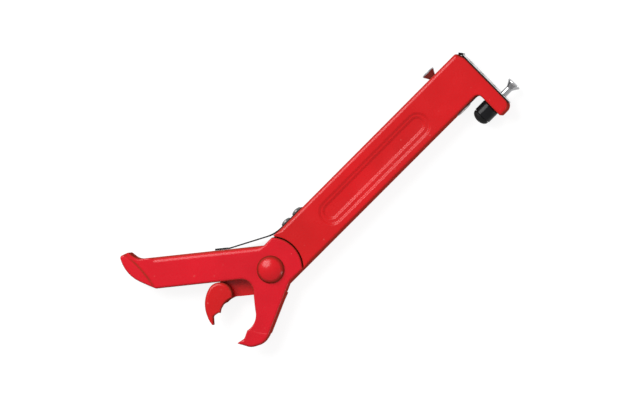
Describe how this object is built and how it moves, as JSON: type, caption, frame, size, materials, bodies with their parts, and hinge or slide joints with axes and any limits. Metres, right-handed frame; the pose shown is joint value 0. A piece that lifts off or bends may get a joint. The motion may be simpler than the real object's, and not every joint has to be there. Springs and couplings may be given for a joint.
{
  "type": "fire hydrant wrench",
  "caption": "Cast pliers-type hydrant wrench: long handle with a fixed claw and a plunger hook, and a riveted hooked lever with a moving claw that a leaf spring holds open.",
  "frame": {"origin": "on the pivot rivet's axis, at the tool's back face", "axes": "+X along the handle towards the end plate and hook arm, +Y across the handle away from the hook arm, +Z out of the front face, where the rivet's domed head is"},
  "size_m": [0.3707, 0.1541, 0.0285],
  "materials": {
    "red_paint": "semi-gloss enamel over a casting",
    "black_gloss": "gloss black",
    "black_steel": "black oxide",
    "spring_steel": "blued spring strip",
    "screw_steel": "zinc-plated",
    "spring_wire": "drawn wire",
    "bright_chrome": "polished",
    "black_rubber": "matt",
    "bronze": "plain"
  },
  "bodies": {
    "handle": {"handle": "red_paint", "pivot_rivet": "red_paint", "thrust_washer": "bronze", "leaf_spring": "spring_steel", "leaf_screw_front": "screw_steel", "leaf_screw_rear": "screw_steel", "end_plate": "black_gloss", "end_plate_screw_top": "black_steel", "end_plate_screw_middle": "black_steel", "end_plate_screw_bottom": "black_steel", "press_spring": "spring_wire", "lock_spring": "spring_wire"},
    "lever": {"lever": "red_paint"},
    "press_plunger": {"press_pin": "bright_chrome", "press_clip": "spring_wire", "press_collar": "black_gloss", "press_pad": "black_rubber"},
    "lock_plunger": {"lock_pin": "bright_chrome", "lock_foot": "black_gloss", "lock_foot_screw": "screw_steel"}
  },
  "joints": [
    {"name": "lever_pivot", "type": "hinge", "parent": "handle", "child": "lever", "pos_m": [0, 0, 0.011], "axis": [0, 0, 1], "range_deg": [-20, 0], "stiffness_Nm_per_rad": 5, "springref_deg": 2.86, "deforming": ["leaf_spring"]},
    {"name": "press_slide", "type": "slide", "parent": "handle", "child": "press_plunger", "axis": [-1, 0, 0], "range_m": [0, 0.0045], "stiffness_N_per_m": 2000, "springref_m": -0.003, "deforming": ["press_spring"]},
    {"name": "lock_slide", "type": "slide", "parent": "handle", "child": "lock_plunger", "axis": [0, 1, 0], "range_m": [0, 0.005], "stiffness_N_per_m": 1200, "springref_m": -0.004, "deforming": ["lock_spring"]}
  ]
}
